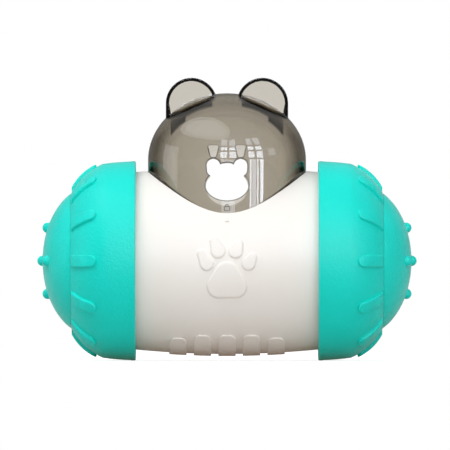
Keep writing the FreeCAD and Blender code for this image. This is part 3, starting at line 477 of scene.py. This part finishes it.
def placeScrews():
    names = [node for node in nodes if node.endswith("_screw") or "_screw_" in node]
    head = screwSizes["Head Height"]
    spots = []
    for name in names:
        low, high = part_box(name)
        middle = (low + high) / 2
        if name.startswith("weight"):
            spots.append(((middle.x, middle.y, high.z - head), (0, 0, 1)))
        elif middle.x > 0:
            spots.append(((high.x - head, middle.y, middle.z), (1, 0, 0)))
        else:
            spots.append(((low.x + head, middle.y, middle.z), (-1, 0, 0)))
    addPiece("screws", screwTree().grown("screws", spots), "screw_steel", "barrel_body", *names)


placeScrews()
print("screws placed")


# Flared feet that lead from each hub cap into its nubs

nubSizes = {
    "Neck Radius": 0.00205,
    "Foot Radius": 0.0034,
    "Rise": 0.0011,
    "Sink": 0.0004,
}
capValues = {  # sizes of the hub caps, as the source has them
    "rimRadius": 0.0301,
    "bulge": 0.0126,  # from the cap's seat to its pole
    "setback": 0.010,  # of the ellipsoid's widest plane behind the seat
    "nubRadius": 0.00235,
    "nubRing": 0.0148,
    "nubCount": 4,  # round the one in the middle
    "footSegments": 36,
    "footRings": 7,
}


def nubFootTree():
    grower = Grower("nubFeet", nubSizes)
    size = grower.given
    tube = grower.wire("GeometryNodeMeshCylinder", {"fill_type": "NGON"}, {
        "Vertices": capValues["footSegments"], "Side Segments": capValues["footRings"],
        "Radius": 1.0, "Depth": 1.0})

    def flare(x, y, z):
        swing = (z + 0.5) * (math.pi / 2)
        radius = size("Foot Radius") - (size("Foot Radius") - size("Neck Radius")) * swing.math("SINE")
        rise = (1 - swing.math("COSINE")) * (size("Rise") + size("Sink")) - size("Sink")
        return x * radius, y * radius, rise

    grower.end(grower.reshaped(tube, flare), "teal_plastic")
    return grower


def placeNubFeet():
    grower = nubFootTree()
    for side, sign in (("left", -1), ("right", 1)):
        low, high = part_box(f"{side}_hub_cap")
        tip = max(abs(low.x), abs(high.x)) - capValues["nubRadius"]
        halfLength = capValues["bulge"] + capValues["setback"]
        middle = tip - halfLength
        radius = capValues["rimRadius"] / math.sqrt(1 - (capValues["setback"] / halfLength) ** 2)
        spots = [((sign * tip, 0, axleHeight), (sign, 0, 0))]
        share = capValues["nubRing"] / radius
        ringX = middle + halfLength * math.sqrt(1 - share ** 2)
        for index in range(capValues["nubCount"]):
            turn = 2 * math.pi * index / capValues["nubCount"]
            across, up = math.sin(turn) * capValues["nubRing"], math.cos(turn) * capValues["nubRing"]
            aim = Vector((sign * (ringX - middle) / halfLength ** 2, across / radius ** 2, up / radius ** 2))
            spots.append(((sign * ringX, across, axleHeight + up), aim.normalized()))
        mesh = grower.grown(f"{side}NubFeet", spots)
        for face in mesh.polygons:
            face.use_smooth = True
        addPiece(f"{side}_nub_feet", mesh, "teal_plastic", f"{side}_wheel_body")


placeNubFeet()
print("nub feet placed")


# Soft pads of the paw print, laid over the low ones that the barrel has

barrelValues = {
    "radius": 0.0418,
    "endRadius": 0.0392,
    "halfLength": 0.0465,
}


def barrelPoint(across, up, height):  # on the barrel's front, so high above its skin; up is from the axle
    crown = barrelValues["radius"] - barrelValues["endRadius"]
    arc = (barrelValues["halfLength"] ** 2 + crown ** 2) / (2 * crown)
    radius = barrelValues["radius"] - arc + math.sqrt(arc ** 2 - across ** 2) + height
    return across, -math.sqrt(radius ** 2 - up ** 2), up + axleHeight


pawValues = {
    "steps": 96,
    # in millimetres: how far outside the pad's outline each ring lies, and how high above the barrel
    "rings": ((0.3, -0.5), (0.55, -0.2), (0.4, 0.0), (0.27, 0.05), (0.12, 0.2), (-0.03, 0.45),
              (-0.18, 0.66), (-0.4, 0.8), (-0.75, 0.86), (-1.3, 0.88)),
    "topRings": (0.72, 0.45, 0.2),  # inside the last of them, in shares of it
    # circles whose hull is a pad's outline: across, up from the axle and radius, in millimetres
    "palm": ((-3.8, -11.4, 5.0), (3.8, -11.4, 5.0), (0.0, -5.6, 5.4)),
    # of each toe: middle of its foot, reach of its tip, and lean in degrees
    "toes": ((-9.0, -1.1, 4.8, 27.0), (-4.0, 4.4, 4.7, 20.0),
             (3.8, 4.4, 3.3, -22.0), (9.6, -1.0, 3.0, -30.0)),
    "toeFoot": 3.1,  # radius of the circle there
    "toeTip": 2.1,
}


def hullRing(circles, grow, steps):  # round all the circles, let out by so much
    points = []
    for step in range(steps):
        turn = 2 * math.pi * step / steps
        aside, up = math.cos(turn), math.sin(turn)
        x, z, radius = max(circles, key=lambda circle: circle[0] * aside + circle[1] * up + circle[2])
        points.append((x + (radius + grow) * aside, z + (radius + grow) * up))
    return points


def addPad(draft, circles):
    rings = []

    def addRing(outline, height):
        rings.append([draft.verts.new(barrelPoint(x / millimetres, z / millimetres, height / millimetres))
                      for x, z in outline])

    for grow, height in pawValues["rings"]:
        outline = hullRing(circles, grow, pawValues["steps"])
        addRing(outline, height)
    middleX, middleZ = (sum(line) / pawValues["steps"] for line in zip(*outline))
    for share in pawValues["topRings"]:  # inside the last outline, as high as it is
        inner = [(middleX + (x - middleX) * share, middleZ + (z - middleZ) * share) for x, z in outline]
        addRing(inner, height)
    addWalls(draft, rings)
    draft.faces.new(rings[-1])
    draft.faces.new(rings[0][::-1])


def layPaw():
    draft = bmesh.new()
    addPad(draft, pawValues["palm"])
    for across, up, reach, lean in pawValues["toes"]:
        turn = math.radians(lean)
        tip = (across - math.sin(turn) * reach, up + math.cos(turn) * reach)
        addPad(draft, ((across, up, pawValues["toeFoot"]), (*tip, pawValues["toeTip"])))
    for face in draft.faces:
        face.smooth = True
    addPiece("paw_pads", meshFrom(draft, "pawPads"), "white_plastic", "barrel_body")


layPaw()
print("paw laid")


# The dome with its outlets and vents opened out towards their outer side, as the mould leaves them

domeValues = {
    "wall": 0.0020,
    "rise": 0.0299,  # of the dome's top above its straight side
    "draft": 0.00042,  # how much wider an opening is outside the wall than inside
    "over": 0.0012,  # how far a cutter reaches out of the wall
    "under": 0.0016,  # and into the hollow
    "steps": 64,
    "weld": 0.000002,
    "crease": 32.0,  # edges sharper than this stay sharp
    "surfaceFacing": 0.9,  # a face this close to the dome's own direction is part of its skin
    "edgeFacing": 0.6,  # and one farther off than this is the wall of an opening, which gets painted shade
    "edgeFrom": 0.012,  # above the dome's foot, over the lock's slots
    "edgeTo": 0.5,  # in shares of the rise
    # the bear's ellipses, in millimetres: across, up from the axle, half width and half height
    "jaw": (0.0, 33.9, 9.6, 6.9),
    "crown": (0.0, 36.2, 7.7, 7.7),
    # and circles whose hull is an opening's outline: across, up from the axle and radius
    "cheek": ((6.1, 42.7, 3.05), (6.35, 40.6, 2.65)),  # an ear and the fuller foot below it
    "vent": ((4.4, 50.9, 0.65), (7.8, 50.9, 0.65), (6.7, 47.1, 0.7), (5.5, 47.1, 0.7)),
    "backChinDrop": 2.1,  # how much lower the back outlet's jaw ends
}


def ovalRing(across, up, halfWidth, halfHeight, grow, steps):
    turns = [2 * math.pi * step / steps for step in range(steps)]
    return [(across + (halfWidth + grow) * math.cos(turn), up + (halfHeight + grow) * math.sin(turn))
            for turn in turns]


def taperedCutter(name, outline, side):  # the outline is a function of how far it is let out, in millimetres
    draft = bmesh.new()
    wall = domeValues["wall"]
    slope = domeValues["draft"] * millimetres / wall
    rings = []
    for height in (domeValues["over"], -wall - domeValues["under"]):  # over the dome's outer surface
        radius = domeRadius + height
        ring = [(x / millimetres, z / millimetres) for x, z in outline((height + wall) * slope)]
        rings.append([draft.verts.new((x, side * math.sqrt(radius ** 2 - x ** 2), z + axleHeight))
                      for x, z in ring])
    addWalls(draft, rings)
    draft.faces.new(rings[0])
    draft.faces.new(rings[1][::-1])
    return bpy.data.objects.new(name, meshFrom(draft, name))


def domeCutters():
    value = domeValues
    steps = value["steps"]
    cutters = []

    def add(outline, side):
        cutters.append(taperedCutter(f"cutter{len(cutters)}", outline, side))

    def mirrored(circles, sign):
        return [(x * sign, z, radius) for x, z, radius in circles]

    for side, drop in ((-1, 0.0), (1, value["backChinDrop"])):
        x, z, halfWidth, halfHeight = value["jaw"]
        jaw = (x, z - drop / 2, halfWidth, halfHeight + drop / 2)
        add(lambda grow, jaw=jaw: ovalRing(*jaw, grow, steps), side)
        add(lambda grow: ovalRing(*value["crown"], grow, steps), side)
        for sign in (-1, 1):
            add(lambda grow, sign=sign: hullRing(mirrored(value["cheek"], sign), grow, steps), side)
    for sign in (-1, 1):
        add(lambda grow, sign=sign: hullRing(mirrored(value["vent"], sign), grow, steps), -1)
    return cutters


def domeNormal(place, wallDown):  # of the dome's own surface, or of its inner one
    radius, rise = domeRadius - wallDown, domeValues["rise"] - wallDown
    above = max(place.z - (domeHigh.z - domeValues["rise"]), 0.0)
    return Vector((place.x / radius ** 2, place.y / radius ** 2, above / rise ** 2)).normalized()


def heightOverDome(place):  # how far a place is above the dome's surface, roughly
    above = max(place.z - (domeHigh.z - domeValues["rise"]), 0.0) / domeValues["rise"]
    share = math.sqrt((place.x ** 2 + place.y ** 2) / domeRadius ** 2 + above ** 2)
    return (share - 1) * domeValues["rise"]


def smoothDome(mesh):
    for face in mesh.polygons:
        face.use_smooth = True
    mesh.set_sharp_from_angle(angle=math.radians(domeValues["crease"]))
    normals = [None] * len(mesh.loops)
    corners = [normal.vector.copy() for normal in mesh.corner_normals]
    for face in mesh.polygons:
        outward = domeNormal(face.center, 0.0)
        facing = face.normal.dot(outward)
        for loop in face.loop_indices:
            place = mesh.vertices[mesh.loops[loop].vertex_index].co
            normals[loop] = corners[loop]
            if facing > domeValues["surfaceFacing"]:
                normals[loop] = domeNormal(place, 0.0)
            elif facing < -domeValues["surfaceFacing"]:
                normals[loop] = -domeNormal(place, domeValues["wall"])
    mesh.normals_split_custom_set(normals)


def openDome():
    dome = bpy.data.objects.new("dome", nodes["hopper_dome"].data.copy())
    scene.collection.objects.link(dome)
    weld = dome.modifiers.new("weld", "WELD")
    weld.merge_threshold = domeValues["weld"]
    cutters = domeCutters()
    for cutter in cutters:
        scene.collection.objects.link(cutter)
        cut = dome.modifiers.new(cutter.name, "BOOLEAN")
        cut.operation = "DIFFERENCE"
        cut.solver = "EXACT"
        cut.object = cutter
    mesh = bpy.data.meshes.new_from_object(dome.evaluated_get(bpy.context.evaluated_depsgraph_get()))
    for holder in (dome, *cutters):
        bpy.data.objects.remove(holder)
    mesh.name = "openedDome"
    smoothDome(mesh)
    # the walls of the openings, between these heights, get the smoky plastic with painted shade
    mesh.materials.append(smokyEdge)
    low = domeLow.z + domeValues["edgeFrom"]
    high = domeHigh.z - domeValues["rise"] * domeValues["edgeTo"]
    for face in mesh.polygons:
        facing = abs(face.normal.dot(domeNormal(face.center, 0.0)))
        if facing < domeValues["edgeFacing"] and low < face.center.z < high:
            face.material_index = 1
    addPiece("dome", mesh, "smoky_plastic", "hopper_body", "hopper_dome")


earValues = {
    "radius": 0.0115,
    "rim": 0.0016,  # how wide the rim is
    "offset": 0.0159,
    "sink": 0.0046,  # from the top of the dome down to the middle of the ear
    "skin": 0.0004,  # faces this close to the dome's surface are neither rim nor tongue
}


def rimEars():
    for name, sign in (("left_ear", -1), ("right_ear", 1)):
        mesh = nodes[name].data.copy()
        # the rims and the tongues under the dome's surface get the smoky plastic with painted shade
        mesh.materials.append(smokyEdge)
        middle = Vector((sign * earValues["offset"], domeHigh.z - earValues["sink"]))
        for face in mesh.polygons:
            away = (Vector((face.center.x, face.center.z)) - middle).length
            above = heightOverDome(face.center)
            isTongue = above < -earValues["skin"]
            isRim = away > earValues["radius"] - earValues["rim"] and above > earValues["skin"]
            if isTongue or isRim:
                face.material_index = 1
        addPiece(f"{name}_piece", mesh, "smoky_plastic", "hopper_body", name)


openDome()
rimEars()
print("dome opened")


# Raised marks: a padlock on the dome's foot, and below it the arrow that it is turned to

markValues = {
    "lockUp": 0.0234,  # above the axle
    "lockWidth": 0.0024,
    "lockHeight": 0.0017,
    "lockCorner": 0.0004,
    "shackleRadius": 0.0007,
    "shackleLeg": 0.0003,  # from the lock's top to the shackle's bow
    "stroke": 0.00032,
    "rise": 0.00022,
    "sink": 0.0003,
    # of a stroke's section: shares of its half width, and of its rise there
    "section": ((-0.8, 0.6), (-0.4, 1.0), (0.4, 1.0), (0.8, 0.6)),
    "arrowUp": 0.0185,
    "arrowWidth": 0.0020,
    "arrowHeight": 0.0016,
    "arrowRise": 0.0007,
    "arrowFoot": 1.15,  # how large it is in the barrel's skin
    "arrowShoulder": 0.6,  # how high its upright part is, in shares of its rise
    "arrowTop": 0.75,
}


def domePoint(across, up, height):  # on the front of the dome's straight side
    return across, -math.sqrt((domeRadius + height) ** 2 - across ** 2), up + axleHeight


def addStroke(draft, line, closed=False):  # a raised line on the dome
    section = [(share, markValues["rise"] * part) for share, part in markValues["section"]]
    section = [(-1, -markValues["sink"]), *section, (1, -markValues["sink"])]
    rings = []
    for index, (x, z) in enumerate(line):
        before = line[index - 1] if index or closed else line[index]
        after = line[(index + 1) % len(line)] if index < len(line) - 1 or closed else line[index]
        way = Vector((after[0] - before[0], after[1] - before[1])).normalized()
        side = Vector((-way.y, way.x)) * markValues["stroke"] / 2
        rings.append([draft.verts.new(domePoint(x + side.x * share, z + side.y * share, height))
                      for share, height in section])
    if closed:
        addWalls(draft, [*rings, rings[0]])
    else:
        addWalls(draft, rings)
        draft.faces.new(rings[0][::-1])
        draft.faces.new(rings[-1])


def roundedRectangle(width, height, corner, middle, steps=6):
    line = []
    for quarter, (across, up) in enumerate(((1, 1), (-1, 1), (-1, -1), (1, -1))):
        for step in range(steps + 1):
            turn = math.radians(90 * (quarter + step / steps))
            line.append((across * (width / 2 - corner) + math.cos(turn) * corner,
                         middle + up * (height / 2 - corner) + math.sin(turn) * corner))
    return line


def drawLock():
    value = markValues
    draft = bmesh.new()
    body = roundedRectangle(value["lockWidth"], value["lockHeight"], value["lockCorner"], value["lockUp"])
    addStroke(draft, body, closed=True)
    start = value["lockUp"] + value["lockHeight"] / 2
    radius = value["shackleRadius"]
    turns = [math.radians(turn) for turn in range(0, 181, 15)]
    bow = [(math.cos(turn) * radius, start + value["shackleLeg"] + math.sin(turn) * radius) for turn in turns]
    addStroke(draft, [(bow[0][0], start), *bow, (bow[-1][0], start)])
    piece = addPiece("lock_mark", meshFrom(draft, "lock_mark"), "smoky_plastic", "hopper_body")
    # the lock's strokes get the smoky plastic with painted shade
    piece.data.materials[0] = smokyEdge


def drawArrow():
    value = markValues
    draft = bmesh.new()
    halfWidth, halfHeight, up = value["arrowWidth"] / 2, value["arrowHeight"] / 2, value["arrowUp"]
    corners = ((-halfWidth, -halfHeight), (halfWidth, -halfHeight), (0.0, halfHeight))
    levels = ((value["arrowFoot"], -value["sink"]), (1.0, value["arrowRise"] * value["arrowShoulder"]),
              (value["arrowTop"], value["arrowRise"]))
    rings = [[draft.verts.new(barrelPoint(x * share, up + z * share, height)) for x, z in corners]
             for share, height in levels]
    addWalls(draft, rings)
    draft.faces.new(rings[-1])
    draft.faces.new(rings[0][::-1])
    addPiece("arrow_mark", meshFrom(draft, "arrow_mark"), "white_plastic", "barrel_body")


drawLock()
drawArrow()
print("marks drawn")


# Floor, world and lamps

stageValues = {
    "floorSize": 8.0,
    "floorColour": 0.5,
    "floorGlow": 0.78,
    "floorFade": (0.2, 0.7),  # from the middle, where it starts and ends to run into the white ground
    "bounce": 0.10,  # of warm light from the floor up to the toy
    "bounceColour": (1.0, 0.66, 0.42),
    # what a ray that leaves the toy meets: between which two places in the room, and how bright at each
    "sky": (-0.4, 0.8, 0.42, 0.52),  # from below to above, by surfaces that scatter light
    "ceiling": (0.25, 0.8, 0.12, 0.5),  # by surfaces that mirror it
    "paper": (0.4, 0.8, 0.2, 0.4),  # by those that mirror the paper behind the toy
    "paperShare": (0.0, 0.3, 0.0, 1.0),  # from the side to behind
    "backdrop": (0.55, 0.80, 1.0, 0.12),  # by light bent in the dome, from the horizon to above and below
}


def layFloor():
    half = stageValues["floorSize"] / 2
    mesh = bpy.data.meshes.new("floor")
    corners = [(-half, -half, 0), (half, -half, 0), (half, half, 0), (-half, half, 0)]
    mesh.from_pydata(corners, [], [(0, 1, 2, 3)])
    floor = bpy.data.objects.new("floor", mesh)
    scene.collection.objects.link(floor)
    shader = Shader("floorPaper")
    path = shader.add("LightPath")
    camera, through = (Wire(shader, path.outputs[name]) for name in ("Is Camera Ray", "Is Transmission Ray"))
    seen = (camera + through).math("MINIMUM", 1.0)
    place = shader.wire("TexCoord", output=3)
    distance = shader.wire("VectorMath", {"operation": "LENGTH"}, {0: place}, output=1)
    far = shader.graded(distance, *stageValues["floorFade"], 0.0, 1.0)
    pale = stageValues["floorColour"]
    matt = shader.wire("BsdfDiffuse", None, {"Color": (pale, pale, pale, 1)})
    glow = shader.wire("Emission", None, {"Color": (1, 1, 1, 1), "Strength": seen * stageValues["floorGlow"]})
    bounce = shader.wire("Emission", None, {"Color": (*stageValues["bounceColour"], 1),
                                            "Strength": (1 - seen) * stageValues["bounce"]})
    near = shader.wire("AddShader", None, {0: matt, 1: shader.wire("AddShader", None, {0: glow, 1: bounce})})
    white = shader.wire("Emission", None, {"Color": (1, 1, 1, 1), "Strength": 1.0})
    mesh.materials.append(shader.finished(shader.wire("MixShader", None, {0: far * seen, 1: near, 2: white})))


def lightWorld():
    world = bpy.data.worlds.new("studio")
    scene.world = world
    shader = Shader("studio", world)
    path = shader.add("LightPath")
    camera = Wire(shader, path.outputs["Is Camera Ray"])
    through = Wire(shader, path.outputs["Is Transmission Ray"]) * (1 - camera)
    mirror = Wire(shader, path.outputs["Is Glossy Ray"]) * (1 - through) * (1 - camera)
    back, up = shader.parts(shader.wire("TexCoord", output=0))[1:]
    sky = shader.graded(up, *stageValues["sky"])
    backdrop = shader.graded(up.math("ABSOLUTE"), *stageValues["backdrop"])
    ceiling = shader.graded(up, *stageValues["ceiling"])
    paper = shader.graded(back, *stageValues["paperShare"]) * shader.graded(up, *stageValues["paper"])
    rest = 1 - (camera + through + mirror).math("MINIMUM", 1.0)
    strength = camera + through * backdrop + mirror * ceiling.math("MAXIMUM", paper) + rest * sky
    light = shader.wire("Background", None, {0: (1, 1, 1, 1), 1: strength})
    shader.add("OutputWorld", None, {"Surface": light})


rigValues = {
    "aim": 0.02,  # above the axle, where all lamps point
    "power": 4.0,  # for each square metre of a lamp whose face glows with 1
}


def areaLamp(name, azimuth, elevation, distance, width, height, glow,
             tint=(1, 1, 1), shape="RECTANGLE", scatters=True, mirrors=True):
    lamp = bpy.data.lights.new(name, "AREA")
    lamp.shape = shape
    lamp.size = width
    lamp.size_y = height
    lamp.color = tint
    lamp.energy = glow * width * height * rigValues["power"]
    holder = bpy.data.objects.new(name, lamp)
    scene.collection.objects.link(holder)
    turn, rise = math.radians(azimuth), math.radians(elevation)
    away = Vector((math.sin(turn) * math.cos(rise), -math.cos(turn) * math.cos(rise), math.sin(rise)))
    holder.location = Vector((0, 0, axleHeight + rigValues["aim"])) + away * distance
    holder.rotation_euler = away.to_track_quat("Z", "Y").to_euler()
    holder.visible_diffuse = scatters
    holder.visible_glossy = mirrors
    holder.visible_transmission = False


lampValues = {
    "softbox": dict(azimuth=-54, elevation=60, distance=1.7, width=2.4, height=1.2, glow=1.1,
                    shape="ELLIPSE"),
    "softboxMiddle": dict(azimuth=-52, elevation=60, distance=1.6, width=1.7, height=0.8, glow=0.7,
                          shape="ELLIPSE"),
    "frontSoftbox": dict(azimuth=16, elevation=25, distance=1.7, width=1.6, height=1.3, glow=1.2,
                         mirrors=False),
    "rightSpot": dict(azimuth=70, elevation=14, distance=2.6, width=0.55, height=0.5, glow=2.2,
                      tint=(0.86, 0.92, 1.0), scatters=False),
    "leftSheet": dict(azimuth=-92, elevation=4, distance=1.5, width=0.8, height=0.9, glow=1.3,
                      tint=(0.86, 0.92, 1.0), scatters=False),
}
windowValues = {
    "distance": 2.6,
    "tint": (0.8, 0.86, 1.0),
    # in degrees, of each row of panes: where it starts and ends above the horizon, and its glow
    "rows": ((4.4, 16.5, 10.5), (19.5, 25.5, 11.5), (29.0, 41.0, 4.2)),
    # of each window: where its panes start and end round the toy
    "columns": {"middleWindow": ((-9.5, 0.4), (3.6, 13.6)),
                "rightWindow": ((31.5, 40.6), (44.2, 54.5))},
    # upright strips below the right window, and a faint one below the other, each with its glow
    "strips": ((33.0, 36.0, 11.5), (36.8, 43.2, 6.5), (44.4, 46.6, 12.5), (49.2, 54.6, 13.0)),
    "stripHeights": (-9.0, 1.7),
    "faintStrip": (-8.0, 11.5, 3.6),
    "faintHeights": (-9.0, 1.0),  # low enough to stay out of the ears' flat faces
}


def hangPane(name, azimuths, elevations, glow):
    distance = windowValues["distance"]
    middle = [sum(pair) / 2 for pair in (azimuths, elevations)]
    width, height = (2 * distance * math.tan(math.radians(abs(pair[1] - pair[0])) / 2)
                     for pair in (azimuths, elevations))
    width *= math.cos(math.radians(middle[1]))
    areaLamp(name, *middle, distance, width, height, glow, windowValues["tint"], scatters=False)


def hangLamps():
    for name, values in lampValues.items():
        areaLamp(name, **values)
    for name, columns in windowValues["columns"].items():
        for *elevations, glow in windowValues["rows"]:
            for column in columns:
                hangPane(name, column, elevations, glow)
    for *azimuths, glow in windowValues["strips"]:
        hangPane("strip", azimuths, windowValues["stripHeights"], glow)
    *azimuths, glow = windowValues["faintStrip"]
    hangPane("faintStrip", azimuths, windowValues["faintHeights"], glow)


layFloor()
lightWorld()
hangLamps()
print("stage lit")


# Camera, level with the axle and almost flat in its perspective, as the photograph is

photoValues = {
    "pixels": 450,
    "metresPerPixel": 0.0004484,
    "middleColumn": 227.0,  # of the toy
    "axleRow": 260.8,
    "distance": 6.0,
    "sensor": 36.0,  # millimetres
}


def setCamera():
    camera = bpy.data.objects.new("camera", bpy.data.cameras.new("camera"))
    scene.collection.objects.link(camera)
    scale = photoValues["metresPerPixel"]
    half = photoValues["pixels"] / 2
    camera.location = ((half - photoValues["middleColumn"]) * scale, -photoValues["distance"],
                       axleHeight + (photoValues["axleRow"] - half) * scale)
    camera.rotation_euler = (math.pi / 2, 0, 0)
    camera.data.sensor_width = photoValues["sensor"]
    camera.data.lens = photoValues["sensor"] * photoValues["distance"] / (photoValues["pixels"] * scale)
    scene.camera = camera


setCamera()
scene.view_settings.view_transform = "Standard"
